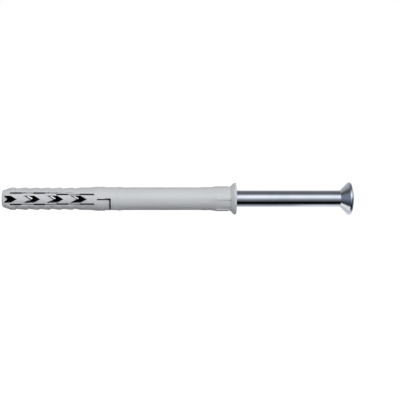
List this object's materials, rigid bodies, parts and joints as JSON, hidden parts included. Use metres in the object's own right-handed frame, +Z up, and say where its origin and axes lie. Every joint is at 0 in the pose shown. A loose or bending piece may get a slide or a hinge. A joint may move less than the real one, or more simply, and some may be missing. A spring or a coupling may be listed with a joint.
{
  "type": "frame fixing",
  "caption": "Long grey nylon frame plug with barbs, slits and arrow windows, and a zinc-plated raised countersunk screw pushed part of the way in.",
  "frame": {"origin": "centre of the collar's face, on the axis of the sleeve", "axes": "+X along the axis, out of the collar towards the screw's head; +Z up; the arrow windows face -Y and +Y"},
  "size_m": [0.1509, 0.0142, 0.0142],
  "materials": {
    "nylon": "light grey moulded nylon, satin",
    "zinc_steel": "bright zinc plating with a faint blue cast"
  },
  "bodies": {
    "root": {"sleeve": "nylon", "screw": "zinc_steel"}
  },
  "joints": []
}
